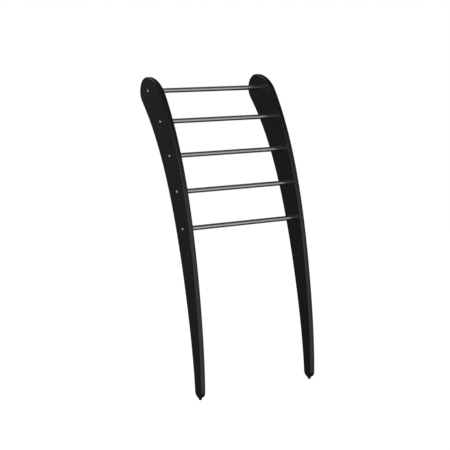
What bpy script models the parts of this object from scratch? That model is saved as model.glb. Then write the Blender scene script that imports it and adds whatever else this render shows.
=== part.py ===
"""Leaning ladder towel warmer: two curved wooden rails joined by five heated tubes.

X runs along the rungs, +Y points to the wall and +Z is up. The origin is on the floor,
under the middle of the whole object. Everything is in metres.
"""

import math

import bpy
import bmesh
import numpy as np
from mathutils import Matrix

# Rails: their spacing, thickness and side outline
rail_centres = 0.680
rail_thickness = 0.028
edge_radius = 0.006
lean_stations = [1.4, 10.4, 16.0, 26.5, 43.9]
lean_length = 1.700
toe_half_width = 0.0308
head_half_width = 0.1042
toe_centre_height = 0.0456
front_edge_end = 1.5549
back_edge_end = 1.6620
rail_height = 1.617

# Rungs: where their axes cross the rail, along its centre line and set back from it
rung_stations = [0.8795, 1.0713, 1.2625, 1.4555, 1.6570]
rung_setbacks = [-0.0072, -0.0090, -0.0092, -0.0085, 0.0070]
rung_radius = 0.0127
rung_wall = 0.0012
socket_depth = 0.0120

# Screws at the left end, cable nipples and nuts at the right end
screw_head_radius = 0.0070
screw_head_height = 0.0056
screw_head_rim = 0.0006
dome_steps = 8
screw_radius = 0.0030
screw_length = 0.0300
hex_socket_radius = 0.0023
plug_length = 0.0260
nipple_radius = 0.0050
lead_hole_radius = 0.0024
nut_radius = 0.0080
nut_height = 0.0036
heater_radius = 0.0040
lead_radius = 0.0018

# Wiring channel and control pocket in the right rail's outer face
channel_half_width = 0.0185
channel_depth = 0.0080
pocket_depth = 0.0210
pocket_start = 0.2900
pocket_end = 0.5480
channel_start = 0.5400
channel_end = 1.6900
cover_half_width = 0.0270
cover_thickness = 0.0025
cover_start = 0.5655
cover_end = 1.7020
plate_start = 0.2720
plate_end = 0.5650
cover_screw_stations = [0.6200, 0.9700, 1.1650, 1.3600, 1.5600]
plate_screw_stations = [0.2810, 0.5560]
small_screw_offset = 0.0228
small_screw_radius = 0.0014
small_screw_head = 0.0026
small_screw_length = 0.0120
harness_radius = 0.0018

# Switch, inlet and the electrical pieces in the pocket
switch_station = 0.4900
inlet_station = 0.3280
terminal_station = 0.3900
terminal_size = (0.0090, 0.0260, 0.0140)
terminal_pitch = 0.0080
terminal_hole_radius = 0.0018
cutout_station = 0.4400
cutout_size = (0.0070, 0.0120, 0.0200)
harness_start = 0.4150
harness_end = 1.6380
harness_across = 0.0110
harness_depth = 0.0054
inner_piece_depth = 0.0125
inlet_flange = (0.0018, 0.0240, 0.0300)
inlet_shroud = (0.0180, 0.0240)
inlet_mouth = (0.0140, 0.0200)
inlet_depth = 0.0150
inlet_floor = 0.0030
inlet_pin_radius = 0.0011
inlet_pin_length = 0.0110
switch_body_depth = 0.0115
switch_cavity_depth = 0.0095
switch_cavity_half = (0.0085, 0.0055)
switch_wall = 0.0011
bezel_lip = 0.0026
bezel_height = 0.0016
rocker_tilt = math.radians(7.0)
rocker_pin_radius = 0.0010
rocker_pin_inset = 0.0020

# Feet and wall bumpers
foot_radius = 0.0110
foot_tip_radius = 0.0058
foot_height = 0.0160
foot_spigot_radius = 0.0040
foot_spigot_length = 0.0200
bumper_radius = 0.0075
bumper_inset = 0.0045
bumper_stand = 0.0015
bumper_bevel = 0.0006

clearance = 0.0003
overshoot = 0.0100
joining_depth = 0.0010
half_width_x = rail_centres / 2 + rail_thickness / 2
inner_face_x = rail_centres / 2 - rail_thickness / 2

for old in list(bpy.data.objects):
    bpy.data.objects.remove(old, do_unlink=True)

parts = bpy.data.collections.new("towel_warmer")
cutters = bpy.data.collections.new("cutters")
bpy.context.scene.collection.children.link(parts)
bpy.context.scene.collection.children.link(cutters)


def material(name, colour, roughness, metallic):
    """A Principled material of one colour."""
    made = bpy.data.materials.new(name)
    made.use_nodes = True
    shader = made.node_tree.nodes["Principled BSDF"]
    shader.inputs["Base Color"].default_value = (*colour, 1.0)
    shader.inputs["Roughness"].default_value = roughness
    shader.inputs["Metallic"].default_value = metallic
    return made


lacquer = material("black_lacquered_wood", (0.012, 0.012, 0.012), 0.32, 0.0)
steel = material("satin_stainless", (0.62, 0.61, 0.60), 0.28, 1.0)
bright = material("polished_stainless", (0.75, 0.75, 0.75), 0.15, 1.0)
brass = material("brass", (0.71, 0.52, 0.24), 0.30, 1.0)
rubber = material("black_rubber", (0.020, 0.020, 0.020), 0.85, 0.0)
plastic = material("black_plastic", (0.022, 0.022, 0.022), 0.45, 0.0)
ceramic = material("cream_ceramic", (0.72, 0.69, 0.60), 0.55, 0.0)
insulation = material("grey_insulation", (0.16, 0.16, 0.17), 0.60, 0.0)

# The rail's centre line: its lean is a polynomial through the stations, and its points
# are the running sum of short steps in the lean's direction, from the floor up.
lean_curve = np.polyfit(np.linspace(0.0, 1.0, len(lean_stations)), np.radians(lean_stations), 4)
table_s = np.linspace(0.0, 1.8, 1801)
table_lean = np.polyval(lean_curve, table_s / lean_length)
table_step = np.diff(table_s)
table_y = np.append(0.0, np.cumsum(np.sin(0.5 * (table_lean[1:] + table_lean[:-1])) * table_step))
table_z = np.append(0.0, np.cumsum(np.cos(0.5 * (table_lean[1:] + table_lean[:-1])) * table_step))


def lean_at(s):
    """The centre line's lean from upright, towards the wall."""
    return float(np.interp(s, table_s, table_lean))


def half_width_at(s):
    """Half the rail's width, which grows evenly from toe to head."""
    return toe_half_width + (head_half_width - toe_half_width) * s / lean_length


def rail_point(s, across):
    """The point a distance across, towards the wall, from the centre line at s, as (y, z)."""
    lean = lean_at(s)
    y = float(np.interp(s, table_s, table_y)) + across * math.cos(lean)
    z = float(np.interp(s, table_s, table_z)) - across * math.sin(lean)
    return y, z


def edge_heading(s, side):
    """The angle from upright of the front (side -1) or back (side 1) edge at s."""
    taper = (head_half_width - toe_half_width) / lean_length
    return lean_at(s) + side * math.atan(taper)


def arc(centre, radius, start, end, steps):
    """Points on an arc about centre; angles are from straight up, positive towards the wall."""
    angles = np.linspace(start, end, steps)
    return [(centre[0] + radius * math.sin(a), centre[1] + radius * math.cos(a)) for a in angles]


def rail_outline():
    """The rail's side outline: front edge up, two head arcs, back edge down, round toe."""
    front = [rail_point(s, -half_width_at(s)) for s in np.linspace(toe_centre_height, front_edge_end, 18)]
    back = [rail_point(s, half_width_at(s)) for s in np.linspace(back_edge_end, toe_centre_height, 18)]
    front_heading = edge_heading(front_edge_end, -1)
    back_heading = edge_heading(back_edge_end, 1)
    front_radius = (rail_height - front[-1][1]) / (1.0 - math.sin(front_heading))
    back_radius = (rail_height - back[0][1]) / (1.0 + math.sin(back_heading))
    front_centre = (front[-1][0] + front_radius * math.cos(front_heading), rail_height - front_radius)
    back_centre = (back[0][0] - back_radius * math.cos(back_heading), rail_height - back_radius)
    front_arc = arc(front_centre, front_radius, front_heading - math.pi / 2, 0.0, 8)
    back_arc = arc(back_centre, back_radius, 0.0, math.pi / 2 + back_heading, 12)
    toe_lean = lean_at(toe_centre_height)
    toe_centre = rail_point(toe_centre_height, 0.0)
    toe_radius = half_width_at(toe_centre_height)
    toe_arc = arc(toe_centre, toe_radius, math.pi / 2 + toe_lean, 3 * math.pi / 2 + toe_lean, 12)
    return front + front_arc[1:] + back_arc[1:-1] + back + toe_arc[1:-1]


outline = rail_outline()
wall_y = max(y for y, z in outline) + bumper_stand
front_y = min(y for y, z in outline)
shift_y = -(wall_y + front_y) / 2


def place(obj, collection=parts):
    """Link an object into its collection."""
    collection.objects.link(obj)
    return obj


def as_cutter(obj):
    """Keep an object as a Boolean cutter, out of the model."""
    obj.hide_render = True
    obj.display_type = "WIRE"
    cutters.objects.link(obj)
    return obj


def cut(obj, tool, solver="EXACT"):
    """Take a cutter away from an object."""
    boolean = obj.modifiers.new("cut_" + tool.name, "BOOLEAN")
    boolean.operation = "DIFFERENCE"
    boolean.solver = solver
    boolean.object = tool


def join(obj, tool):
    """Join a guide solid to an object."""
    boolean = obj.modifiers.new("join_" + tool.name, "BOOLEAN")
    boolean.operation = "UNION"
    boolean.solver = "EXACT"
    boolean.object = tool


def finished_mesh(obj, finish=None):
    """The object's mesh after its modifiers, welded; the object itself is removed."""
    bpy.context.view_layer.update()
    graph = bpy.context.evaluated_depsgraph_get()
    mesh = bpy.data.meshes.new_from_object(obj.evaluated_get(graph))
    grid = bmesh.new()
    grid.from_mesh(mesh)
    bmesh.ops.remove_doubles(grid, verts=grid.verts, dist=0.00001)
    bmesh.ops.recalc_face_normals(grid, faces=grid.faces)
    grid.to_mesh(mesh)
    grid.free()
    mesh.name = obj.name
    bpy.data.objects.remove(obj, do_unlink=True)
    if finish:
        mesh.materials.clear()
        mesh.materials.append(finish)
    mesh.shade_smooth()
    mesh.set_sharp_from_angle(angle=math.radians(35))
    return mesh


def plate(name, points, x_low, x_high, rounding=0.0, finish=None):
    """A flat outline of (y, z) points made solid from x_low to x_high, with rounded edges."""
    curve = bpy.data.curves.new(name, "CURVE")
    curve.dimensions = "2D"
    curve.fill_mode = "BOTH"
    curve.extrude = (x_high - x_low) / 2 - rounding
    curve.bevel_depth = rounding
    curve.offset = -rounding
    curve.bevel_resolution = 1
    spline = curve.splines.new("POLY")
    spline.points.add(len(points) - 1)
    for point, (y, z) in zip(spline.points, points):
        point.co = (y + shift_y, z, 0.0, 1.0)
    spline.use_cyclic_u = True
    obj = place(bpy.data.objects.new(name, curve))
    obj.rotation_euler = (math.pi / 2, 0.0, math.pi / 2)
    obj.location.x = (x_low + x_high) / 2
    bpy.context.view_layer.update()
    turn = obj.matrix_world.copy()
    mesh = finished_mesh(obj, finish)
    mesh.transform(turn)
    return bpy.data.objects.new(name, mesh)


def strip(name, start, end, half_width, x_low, x_high, finish=None):
    """A band along the rail's centre line."""
    steps = max(3, round((end - start) / 0.06))
    along = np.linspace(start, end, steps + 1)
    points = [rail_point(s, -half_width) for s in along] + [rail_point(s, half_width) for s in along[::-1]]
    return plate(name, points, x_low, x_high, finish=finish)


def turned(name, profile, steps, closed=False):
    """A profile of (radius, height) pairs turned about Z; it runs down its outer side."""
    mesh = bpy.data.meshes.new(name)
    edges = [(i, i + 1) for i in range(len(profile) - 1)]
    if closed:
        edges.append((len(profile) - 1, 0))
    mesh.from_pydata([(r, 0.0, h) for r, h in profile], edges, [])
    obj = place(bpy.data.objects.new(name, mesh))
    screw = obj.modifiers.new("turn", "SCREW")
    screw.axis = "Z"
    screw.angle = 2 * math.pi
    screw.steps = steps
    screw.render_steps = steps
    screw.use_merge_vertices = True
    screw.merge_threshold = 0.00001
    return obj


def along_x(mesh, direction=1):
    """Turn a mesh made along +Z so that it lies along X; direction -1 points it to -X."""
    mesh.transform(Matrix.Rotation(direction * math.pi / 2, 4, "Y"))
    return mesh


def at_rail(obj, s, across, x=0.0, tilt=True):
    """Put an object on the rail at s and across, turned to the rail's lean."""
    y, z = rail_point(s, across)
    obj.location = (x, y + shift_y, z)
    if tilt:
        obj.rotation_euler.x = -lean_at(s)
    return obj


def box(name, size, centre=(0.0, 0.0, 0.0), bevel=0.0):
    """A box with an optional small bevel."""
    mesh = bpy.data.meshes.new(name)
    grid = bmesh.new()
    bmesh.ops.create_cube(grid, size=1.0)
    bmesh.ops.scale(grid, vec=size, verts=grid.verts)
    bmesh.ops.translate(grid, vec=centre, verts=grid.verts)
    grid.to_mesh(mesh)
    grid.free()
    obj = bpy.data.objects.new(name, mesh)
    if bevel:
        rounded = obj.modifiers.new("bevel", "BEVEL")
        rounded.width = bevel
        rounded.segments = 1
    return obj


def rod(name, radius, length, sides, centre=(0.0, 0.0, 0.0), axis="X"):
    """A plain cylinder about centre."""
    mesh = bpy.data.meshes.new(name)
    grid = bmesh.new()
    bmesh.ops.create_cone(grid, cap_ends=True, segments=sides, radius1=radius, radius2=radius, depth=length)
    if axis == "X":
        bmesh.ops.rotate(grid, matrix=Matrix.Rotation(math.pi / 2, 3, "Y"), verts=grid.verts)
    if axis == "Y":
        bmesh.ops.rotate(grid, matrix=Matrix.Rotation(math.pi / 2, 3, "X"), verts=grid.verts)
    bmesh.ops.translate(grid, vec=centre, verts=grid.verts)
    grid.to_mesh(mesh)
    grid.free()
    return bpy.data.objects.new(name, mesh)


def named(obj, finish):
    """Give a finished object its material and smooth shading, and add it to the model."""
    obj.data.materials.clear()
    obj.data.materials.append(finish)
    obj.data.shade_smooth()
    obj.data.set_sharp_from_angle(angle=math.radians(35))
    return place(obj)


rung_points = [rail_point(s, back) for s, back in zip(rung_stations, rung_setbacks)]


def per_rung(name, mesh, finish):
    """One copy of a mesh on each rung's axis."""
    mesh.materials.clear()
    mesh.materials.append(finish)
    for index, (y, z) in enumerate(rung_points, start=1):
        copy = bpy.data.objects.new(f"{name}_{index}", mesh)
        copy.location = (0.0, y + shift_y, z)
        place(copy)


def per_rung_cut(target, radius, x_low, x_high, sides, label):
    """A bore on each rung's axis, from x_low to x_high."""
    for index, (y, z) in enumerate(rung_points, start=1):
        centre = ((x_low + x_high) / 2, y + shift_y, z)
        cut(target, as_cutter(rod(f"{label}_{index}", radius, x_high - x_low, sides, centre)))


def foot_hole(target, side, toe_y):
    """The seat and spigot hole for the rubber foot, from below."""
    x = side * rail_centres / 2
    for label, radius, top in (
        ("foot_seat", foot_radius, foot_height + clearance),
        ("spigot_hole", foot_spigot_radius, foot_height + foot_spigot_length + clearance),
    ):
        centre = (x, toe_y, (top - overshoot) / 2)
        hole = rod(f"{label}_{side}", radius + clearance, top + overshoot, 20, centre, "Z")
        cut(target, as_cutter(hole))


rearmost = max(outline, key=lambda p: p[0])
bumper_z = rearmost[1]
toe_y = rail_point(foot_height, 0.0)[0] + shift_y


def bumper_hole(target, side):
    """The blind hole for the wall bumper in the head's back edge."""
    depth = bumper_inset + overshoot
    centre_y = rearmost[0] + shift_y - bumper_inset + depth / 2
    centre = (side * rail_centres / 2, centre_y, bumper_z)
    cut(target, as_cutter(rod(f"bumper_hole_{side}", bumper_radius + clearance, depth, 16, centre, "Y")))


def make_rails():
    """Two rails of the same outline, bored and pocketed for what they hold."""
    for name, side in (("left_rail", -1), ("right_rail", 1)):
        x_mid = side * rail_centres / 2
        rail = plate(name, outline, x_mid - rail_thickness / 2, x_mid + rail_thickness / 2, edge_radius)
        inner = side * (inner_face_x - overshoot)
        floor = side * (inner_face_x + socket_depth + clearance)
        low, high = sorted((inner, floor))
        per_rung_cut(rail, rung_radius + clearance, low, high, 24, f"socket_{side}")
        outside = side * (half_width_x + overshoot)
        bore = screw_radius if side < 0 else nipple_radius
        low, high = sorted((inner, outside))
        per_rung_cut(rail, bore + clearance, low, high, 16, f"bore_{side}")
        if side > 0:
            seat = half_width_x - cover_thickness - clearance
            top = half_width_x + overshoot
            shoulder = cover_half_width + clearance
            for label, start, end, half, depth in (
                ("rebate", plate_start - clearance, cover_end + clearance, shoulder, seat),
                ("channel", channel_start, channel_end, channel_half_width, half_width_x - channel_depth),
                ("pocket", pocket_start, pocket_end, channel_half_width, half_width_x - pocket_depth),
            ):
                cut(rail, as_cutter(strip(label, start, end, half, depth, top)))
        foot_hole(rail, side, toe_y)
        bumper_hole(rail, side)
        named(rail, lacquer)


def make_rungs():
    """The tubes, with a heater, two end plugs, a screw and a nut for each."""
    reach = inner_face_x + socket_depth
    bore = rung_radius - rung_wall
    wall = [(rung_radius, reach), (rung_radius, -reach), (bore, -reach), (bore, reach)]
    tube = turned("tube", wall, 24, closed=True)
    per_rung("rung_tube", along_x(finished_mesh(tube)), steel)

    fit = bore - clearance
    hole = screw_radius + clearance
    grip = heater_radius + clearance
    left = [(hole, reach), (fit, reach), (fit, reach - plug_length), (grip, reach - plug_length)]
    left += [(grip, reach - plug_length + 0.0035), (0.0, reach - plug_length + 0.0035)]
    plug_profile = [(0.0, reach - 0.020), (hole, reach - 0.020), *left]
    per_rung("left_end_plug", along_x(finished_mesh(turned("left_plug", plug_profile, 20)), -1), brass)

    nipple_end = half_width_x - cover_thickness - 0.0010
    back = reach - plug_length
    right = [(lead_hole_radius, nipple_end), (nipple_radius, nipple_end), (nipple_radius, reach)]
    right += [(fit, reach), (fit, back), (grip, back), (grip, back + 0.008), (lead_hole_radius, back + 0.008)]
    nipple = turned("right_plug", right, 16, closed=True)
    per_rung("right_end_plug", along_x(finished_mesh(nipple)), brass)

    tip = reach - plug_length + 0.0030
    shoulder = back + 0.0070
    heater = [(0.0, nipple_end), (lead_radius, nipple_end), (lead_radius, shoulder)]
    heater += [(heater_radius, shoulder), (heater_radius, -tip), (0.0, -tip)]
    per_rung("heating_element", along_x(finished_mesh(turned("heater", heater, 12))), steel)

    seat = half_width_x + clearance
    crown = seat + screw_head_height
    dome = [(0.0, crown)]
    for step in range(1, dome_steps + 1):
        turn = 0.5 * math.pi * step / dome_steps
        rise = (screw_head_height - screw_head_rim) * math.cos(turn)
        dome.append((screw_head_radius * math.sin(turn), seat + screw_head_rim + rise))
    shank = [(screw_head_radius, seat), (screw_radius, seat), (screw_radius, half_width_x - screw_length)]
    shank += [(0.0, half_width_x - screw_length)]
    screw = turned("screw", dome + shank, 20)
    key = rod("hex_key", hex_socket_radius, 0.004, 6, (0.0, 0.0, crown), "Z")
    cut(screw, as_cutter(key))
    per_rung("rung_screw", along_x(finished_mesh(screw), -1), bright)

    base = half_width_x - channel_depth + clearance
    nut = place(rod("nut", nut_radius, nut_height, 6, (0.0, 0.0, base + nut_height / 2), "Z"))
    cut(nut, as_cutter(rod("nut_hole", nipple_radius + clearance, 0.02, 16, (0.0, 0.0, base), "Z")))
    per_rung("cable_nut", along_x(finished_mesh(nut)), brass)


def make_feet_and_bumpers():
    """A push-in rubber foot under each toe and a rubber bumper in each head's back edge."""
    foot = [(0.0, foot_height + foot_spigot_length), (foot_spigot_radius, foot_height + foot_spigot_length)]
    foot += [(foot_spigot_radius, foot_height), (foot_radius, foot_height), (foot_radius, 0.6 * foot_height)]
    foot += [(foot_tip_radius + 0.0008, 0.0010), (foot_tip_radius, 0.0), (0.0, 0.0)]
    foot_mesh = finished_mesh(turned("foot", foot, 20), rubber)
    length = bumper_inset + bumper_stand - clearance
    bumper = [(0.0, length), (bumper_radius - bumper_bevel, length), (bumper_radius, length - bumper_bevel)]
    bumper += [(bumper_radius, 0.0), (0.0, 0.0)]
    bumper_mesh = finished_mesh(turned("bumper", bumper, 20), rubber)
    bumper_mesh.transform(Matrix.Rotation(-math.pi / 2, 4, "X"))
    for name, side in (("left", -1), ("right", 1)):
        pad = bpy.data.objects.new(f"{name}_foot", foot_mesh)
        pad.location = (side * rail_centres / 2, toe_y, 0.0)
        place(pad)
        stop = bpy.data.objects.new(f"{name}_wall_bumper", bumper_mesh)
        stop.location = (side * rail_centres / 2, rearmost[0] + shift_y - bumper_inset + clearance, bumper_z)
        place(stop)


def small_screw_mesh():
    """A countersunk screw whose flat head ends flush with the rail's outer face."""
    top = half_width_x - 0.0001
    cone = top - 0.0014
    end = top - small_screw_length
    profile = [(0.0, top), (small_screw_head, top), (small_screw_radius, cone)]
    profile += [(small_screw_radius, end + 0.0015), (0.0, end)]
    return along_x(finished_mesh(turned("small_screw", profile, 12), bright))


def screw_places():
    """The small screws: alternating sides along the cover, pairs on the control plate."""
    places = []
    for index, s in enumerate(cover_screw_stations):
        places.append((f"cover_screw_{index + 1}", s, small_screw_offset * (-1) ** index, "cover"))
    number = 1
    for s in plate_screw_stations:
        for side in (-1, 1):
            places.append((f"plate_screw_{number}", s, side * small_screw_offset, "plate"))
            number += 1
    return places


def bore_for_screw(target, label, s, across):
    """A countersunk clearance hole for a small screw, on a cover or in the rail below it."""
    top = half_width_x - 0.0001
    reach = small_screw_head + clearance
    straight = small_screw_radius + clearance
    profile = [(0.0, top + 0.004), (reach, top + 0.004), (reach, top - 0.0001), (straight, top - 0.0015)]
    profile += [(straight, top - small_screw_length - clearance), (0.0, top - small_screw_length - clearance)]
    tool = finished_mesh(turned(label, profile, 14))
    hole = at_rail(bpy.data.objects.new(label, along_x(tool)), s, across, tilt=False)
    cut(target, as_cutter(hole), "MANIFOLD")


def make_covers():
    """The wiring cover, the control plate and the small screws that hold them."""
    low = half_width_x - cover_thickness
    cover = strip("wiring_cover", cover_start, cover_end, cover_half_width, low, half_width_x)
    panel = strip("control_plate", plate_start, plate_end, cover_half_width, low, half_width_x)
    rail = bpy.data.objects["right_rail"]
    mesh = small_screw_mesh()
    for name, s, across, target in screw_places():
        at_rail(place(bpy.data.objects.new(name, mesh)), s, across, tilt=False)
        bore_for_screw(cover if target == "cover" else panel, f"{name}_hole", s, across)
        bore_for_screw(rail, f"{name}_pilot", s, across)
    along, across = switch_cavity_half
    window = (0.02, 2 * (across + switch_wall + clearance), 2 * (along + switch_wall + clearance))
    opening = at_rail(box("switch_window", window), switch_station, 0.0, half_width_x)
    cut(panel, as_cutter(opening), "MANIFOLD")
    window = (0.02, inlet_shroud[0] + 2 * clearance, inlet_shroud[1] + 2 * clearance)
    opening = at_rail(box("inlet_window", window), inlet_station, 0.0, half_width_x)
    cut(panel, as_cutter(opening), "MANIFOLD")
    named(cover, lacquer)
    named(panel, plastic)


def make_switch():
    """The rocker switch: housing, rocker and the pin it turns on."""
    along, across = switch_cavity_half
    face = half_width_x + clearance
    wall = switch_wall
    size = (bezel_height, 2 * (across + wall + bezel_lip), 2 * (along + wall + bezel_lip))
    bezel = box("switch_housing", size, (face + bezel_height / 2, 0.0, 0.0), 0.0005)
    inside = switch_body_depth + joining_depth
    size = (inside, 2 * (across + wall), 2 * (along + wall))
    body = box("switch_body", size, (face + joining_depth - inside / 2, 0.0, 0.0))
    hollow = switch_cavity_depth + overshoot
    cavity = box("switch_cavity", (hollow, 2 * across, 2 * along), (face + overshoot - hollow / 2, 0.0, 0.0))
    pin_x = half_width_x - rocker_pin_inset
    pin_hole = rod("pin_hole", rocker_pin_radius + clearance, 0.04, 12, (pin_x, 0.0, 0.0), "Y")
    for tool in (body, cavity, pin_hole):
        as_cutter(at_rail(tool, switch_station, 0.0))
    join(bezel, body)
    cut(bezel, cavity)
    cut(bezel, pin_hole)
    named(at_rail(bezel, switch_station, 0.0), plastic)

    pin = rod("rocker_pin", rocker_pin_radius, 2 * (across + wall) - 0.0004, 12, (pin_x, 0.0, 0.0), "Y")
    named(at_rail(pin, switch_station, 0.0), bright)

    half = along - 0.0007
    shape = [(-half, 0.0030), (0.0, 0.0022), (half, 0.0030), (0.0050, -0.0030), (-0.0050, -0.0030)]
    mesh = bpy.data.meshes.new("switch_rocker")
    grid = bmesh.new()
    near = [grid.verts.new((height, -across + clearance, up)) for up, height in shape]
    far = [grid.verts.new((height, across - clearance, up)) for up, height in shape]
    grid.faces.new(near)
    grid.faces.new(far[::-1])
    for i in range(len(shape)):
        j = (i + 1) % len(shape)
        grid.faces.new((near[j], near[i], far[i], far[j]))
    bmesh.ops.recalc_face_normals(grid, faces=grid.faces)
    grid.to_mesh(mesh)
    grid.free()
    rocker = bpy.data.objects.new("switch_rocker", mesh)
    hole = rod("rocker_hole", rocker_pin_radius + clearance, 0.03, 12, axis="Y")
    for obj in (rocker, hole):
        at_rail(obj, switch_station, 0.0, pin_x)
    rocker.rotation_euler.x = -lean_at(switch_station)
    rocker.rotation_euler.rotate_axis("Y", rocker_tilt)
    cut(rocker, as_cutter(hole))
    named(rocker, plastic)


def make_inlet():
    """The appliance inlet: a shrouded socket with three contact pins."""
    face = half_width_x + clearance
    flange = box("inlet_body", inlet_flange, (face + inlet_flange[0] / 2, 0.0, 0.0), 0.0005)
    length = inlet_depth + joining_depth
    shroud = box("inlet_shroud", (length, *inlet_shroud), (face + joining_depth - length / 2, 0.0, 0.0))
    length = inlet_depth - inlet_floor + overshoot
    hollow = box("inlet_hollow", (length, *inlet_mouth), (face + overshoot - length / 2, 0.0, 0.0))
    for tool in (shroud, hollow):
        as_cutter(at_rail(tool, inlet_station, 0.0))
    join(flange, shroud)
    cut(flange, hollow)
    pin_low = face - inlet_depth + 0.0005
    pin_places = (("live", -0.0035, -0.003), ("neutral", 0.0035, -0.003), ("earth", 0.0, 0.004))
    for label, across, up in pin_places:
        centre = (pin_low + inlet_pin_length / 2, across, up)
        hole = rod(f"{label}_hole", inlet_pin_radius + clearance, 2 * overshoot, 12, (pin_low, across, up))
        as_cutter(at_rail(hole, inlet_station, 0.0))
        cut(flange, hole)
        pin = rod(f"inlet_pin_{label}", inlet_pin_radius, inlet_pin_length, 12, centre)
        named(at_rail(pin, inlet_station, 0.0), brass)
    named(at_rail(flange, inlet_station, 0.0), plastic)


def make_electrics():
    """The terminal block, the overheat cut-out and the harness up the channel."""
    x_mid = half_width_x - inner_piece_depth
    block = box("terminal_block", terminal_size, (x_mid, 0.0, 0.0), 0.0008)
    for index, across in enumerate((-terminal_pitch, 0.0, terminal_pitch)):
        centre = (x_mid + terminal_size[0] / 2, across, 0.0)
        hole = rod(f"terminal_hole_{index}", terminal_hole_radius, 0.006, 12, centre)
        as_cutter(at_rail(hole, terminal_station, 0.0))
        cut(block, hole)
    named(at_rail(block, terminal_station, 0.0), ceramic)
    sensor = box("overheat_cutout", cutout_size, (x_mid, -0.0100, 0.0), 0.0008)
    named(at_rail(sensor, cutout_station, 0.0), insulation)

    curve = bpy.data.curves.new("wiring_harness", "CURVE")
    curve.dimensions = "3D"
    curve.bevel_depth = harness_radius
    curve.bevel_resolution = 1
    curve.use_fill_caps = True
    stations = np.linspace(harness_start, harness_end, 26)
    spline = curve.splines.new("POLY")
    spline.points.add(len(stations) - 1)
    for point, s in zip(spline.points, stations):
        y, z = rail_point(s, harness_across)
        point.co = (half_width_x - harness_depth, y + shift_y, z, 1.0)
    harness = finished_mesh(place(bpy.data.objects.new("wiring_harness", curve)), insulation)
    named(bpy.data.objects.new("wiring_harness", harness), insulation)


make_rails()
make_rungs()
make_feet_and_bumpers()
make_covers()
make_switch()
make_inlet()
make_electrics()
print("towel warmer parts:", len(parts.objects))
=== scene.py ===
import math
import bmesh
import bpy
import numpy as np
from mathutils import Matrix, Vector


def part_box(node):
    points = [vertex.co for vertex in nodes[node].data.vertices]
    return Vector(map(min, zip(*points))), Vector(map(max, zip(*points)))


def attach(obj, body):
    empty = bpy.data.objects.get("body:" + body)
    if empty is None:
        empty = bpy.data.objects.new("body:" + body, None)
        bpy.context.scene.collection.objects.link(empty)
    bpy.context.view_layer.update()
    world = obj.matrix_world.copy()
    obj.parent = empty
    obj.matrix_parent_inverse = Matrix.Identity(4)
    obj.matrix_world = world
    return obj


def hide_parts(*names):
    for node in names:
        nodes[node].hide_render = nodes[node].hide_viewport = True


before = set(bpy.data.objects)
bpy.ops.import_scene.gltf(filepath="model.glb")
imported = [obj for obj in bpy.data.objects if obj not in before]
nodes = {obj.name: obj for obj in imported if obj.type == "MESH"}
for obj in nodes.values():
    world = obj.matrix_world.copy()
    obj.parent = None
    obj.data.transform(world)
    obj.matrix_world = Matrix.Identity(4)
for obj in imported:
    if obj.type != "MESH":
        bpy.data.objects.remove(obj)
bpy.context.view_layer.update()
print("frame loaded:", len(nodes), "nodes")

cameraSetup = {"place": (-3.148, -5.169, 1.909), "yaw": 31.2, "pitch": 10.08, "lens": 92.0}
stageSetup = {
    "floorRadius": 9.0,
    "floorRings": 8,
    "floorCorners": 96,
    "floorGlow": 0.96,
    "floorPaint": 0.30,
}
skySetup = {
    "white": 1.0,
    "tint": (1.0, 0.975, 1.0),
    "base": 0.083,
    "under": 0.05,
    "underTurn": (-0.60, -0.35),
    "front": 0.82,
    "frontTurn": (-0.10, 0.75),
    "frontLow": (-0.52, -0.30),
    "frontHigh": (0.22, 0.66),
    "rightFade": (0.46, 0.72),
    "rightLoss": 0.95,
    "side": 0.34,
    "sideTurn": (0.80, 0.97),
    "rear": 0.12,
    "rearTurn": (0.88, 0.98),
}
lampSetup = {
    "aim": (0.0, 0.0, 0.9),
    "softboxes": {
        "keySoftbox": {"place": (-3.4, -2.6, 3.4), "size": (2.0, 2.0), "power": 22.0, "glossy": True},
        "sideSoftbox": {"place": (3.6, 1.6, 3.0), "size": (1.8, 1.8), "power": 20.0, "glossy": False},
        "rearSoftbox": {"place": (-2.2, 3.4, 4.2), "size": (2.2, 1.8), "power": 30.0, "glossy": True},
    },
}
weldDistance = 0.000002
creaseAngle = math.radians(32.0)


# One socket of a node tree. Arithmetic on it adds Math nodes, and make() adds any other node.
class Wire:
    def __init__(self, tree, socket=None):
        self.tree = tree
        self.socket = socket

    def make(self, kind, settings=None, inputs=None, output=0):
        node = self.tree.nodes.new(kind)
        for key, value in (settings or {}).items():
            setattr(node, key, value)
        for key, value in (inputs or {}).items():
            if isinstance(value, Wire):
                self.tree.links.new(value.socket, node.inputs[key])
            else:
                node.inputs[key].default_value = value
        return Wire(self.tree, node.outputs[output])

    def maths(self, operation, first, second=0.0):
        return self.make("ShaderNodeMath", {"operation": operation}, {0: first, 1: second})

    def __add__(self, other):
        return self.maths("ADD", self, other)

    def __radd__(self, other):
        return self.maths("ADD", other, self)

    def __sub__(self, other):
        return self.maths("SUBTRACT", self, other)

    def __rsub__(self, other):
        return self.maths("SUBTRACT", other, self)

    def __mul__(self, other):
        return self.maths("MULTIPLY", self, other)

    def __rmul__(self, other):
        return self.maths("MULTIPLY", other, self)

    # 0 below low, 1 above high and a smooth step between
    def step(self, low, high):
        span = {"interpolation_type": "SMOOTHSTEP"}
        return self.make("ShaderNodeMapRange", span, {"Value": self, "From Min": low, "From Max": high})

    # from one number to another as self goes from 0 to 1
    def between(self, low, high):
        return self * (high - low) + low

    def mixColours(self, first, second):
        keys = {0: self, 6: (*first, 1.0) if isinstance(first, tuple) else first}
        keys[7] = (*second, 1.0) if isinstance(second, tuple) else second
        return self.make("ShaderNodeMix", {"data_type": "RGBA"}, keys, 2)


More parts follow.
